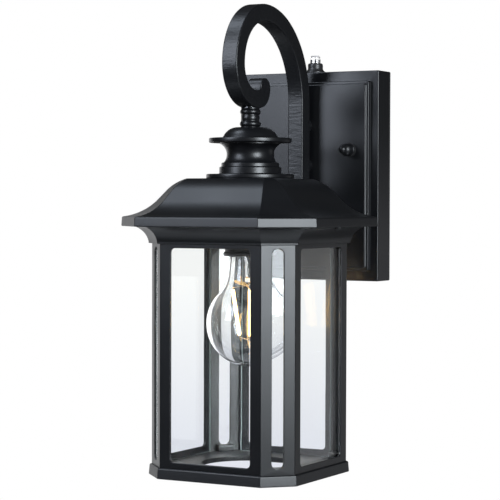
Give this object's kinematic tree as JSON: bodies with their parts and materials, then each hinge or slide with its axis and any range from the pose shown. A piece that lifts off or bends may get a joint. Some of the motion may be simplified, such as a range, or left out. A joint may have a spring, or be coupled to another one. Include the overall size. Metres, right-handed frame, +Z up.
{
  "type": "outdoor wall lantern",
  "caption": "Wall-hung outdoor lantern: glazed cage with slotted corner posts under an ogee roof, hung from a scroll arm on a stepped plate, with dusk sensor and screw-in bulb.",
  "frame": {"origin": "centre of the wall plate's rear face, on the wall", "axes": "+Y into the wall, +Z up, the lantern hangs out towards -Y, +X to the right of someone who faces the wall"},
  "size_m": [0.152, 0.1845, 0.3274],
  "materials": {
    "black_coat": "satin fine-textured powder coat",
    "pane_glass": "clear polished",
    "bulb_glass": "clear blown",
    "zinc_steel": "zinc plated",
    "brass": "plain",
    "foam": "closed-cell foam",
    "washer_rubber": "moulded",
    "holder_plastic": "moulded phenolic",
    "insulator_white": "steatite",
    "nickel": "nickel plated",
    "black_glass": "vitrified insulator",
    "solder": "tinned",
    "phosphor": "silicone phosphor coat",
    "earth_green": "green dyed",
    "sensor_plastic": "moulded",
    "sensor_clear": "clear moulded",
    "sensor_cell": "coated disc"
  },
  "bodies": {
    "lantern": {"base_ring": "black_coat", "base_screws": "zinc_steel", "top_ring": "black_coat", "top_ring_screws": "zinc_steel", "roof": "black_coat", "roof_screws": "black_coat", "roof_cap": "black_coat", "neck_spool": "black_coat", "hanger_nipple": "zinc_steel", "nipple_washer": "zinc_steel", "nipple_nuts": "zinc_steel", "scroll_arm": "black_coat", "arm_screws": "zinc_steel", "back_plate": "black_coat", "wall_gasket": "foam", "mounting_bracket": "zinc_steel", "bracket_studs": "zinc_steel", "stud_locknuts": "zinc_steel", "ground_screw": "earth_green", "sensor_collar": "sensor_plastic", "sensor_lens": "sensor_clear", "sensor_cell": "sensor_cell", "sensor_nut": "sensor_plastic", "lamp_holder": "holder_plastic", "socket_insulator": "insulator_white", "screw_shell": "brass", "centre_contact": "brass", "window_frame_front": "black_coat", "glass_pane_front": "pane_glass", "window_frame_right": "black_coat", "glass_pane_right": "pane_glass", "window_frame_back": "black_coat", "glass_pane_back": "pane_glass", "window_frame_left": "black_coat", "glass_pane_left": "pane_glass", "corner_post_front_right": "black_coat", "corner_post_back_right": "black_coat", "corner_post_back_left": "black_coat", "corner_post_front_left": "black_coat"},
    "bulb_tip": {"bulb_contact": "solder"},
    "bulb": {"bulb_cap": "nickel", "bulb_insulator": "black_glass", "bulb_glass": "bulb_glass", "bulb_stem": "bulb_glass", "bulb_filaments": "phosphor", "filament_wires": "nickel"},
    "washer_left": {"nut_washer_left": "washer_rubber"},
    "nut_left": {"cap_nut_left": "black_coat"},
    "washer_right": {"nut_washer_right": "washer_rubber"},
    "nut_right": {"cap_nut_right": "black_coat"}
  },
  "joints": [
    {"name": "bulb_turn", "type": "hinge", "parent": "bulb_tip", "child": "bulb", "pos_m": [0, -0.1085, -0.1036], "axis": [0, 0, -1], "range_deg": [0, 1800]},
    {"name": "bulb_travel", "type": "slide", "parent": "lantern", "child": "bulb_tip", "axis": [0, 0, -1], "range_m": [0, 0.01817]},
    {"name": "cap_nut_left_turn", "type": "hinge", "parent": "washer_left", "child": "nut_left", "pos_m": [-0.0365, -0.0255, 0.0189], "axis": [0, -1, 0], "range_deg": [0, 2520]},
    {"name": "cap_nut_left_travel", "type": "slide", "parent": "lantern", "child": "washer_left", "axis": [0, -1, 0], "range_m": [0, 0.00489]},
    {"name": "cap_nut_right_turn", "type": "hinge", "parent": "washer_right", "child": "nut_right", "pos_m": [0.0365, -0.0255, 0.0189], "axis": [0, -1, 0], "range_deg": [0, 2520]},
    {"name": "cap_nut_right_travel", "type": "slide", "parent": "lantern", "child": "washer_right", "axis": [0, -1, 0], "range_m": [0, 0.00489]}
  ],
  "couplings": [
    {"joint": "bulb_travel", "follows": "bulb_turn", "m_per_rad": 0.00057757},
    {"joint": "cap_nut_left_turn", "follows": "cap_nut_left_travel", "rad_per_m": 8976},
    {"joint": "cap_nut_right_turn", "follows": "cap_nut_right_travel", "rad_per_m": 8976}
  ]
}
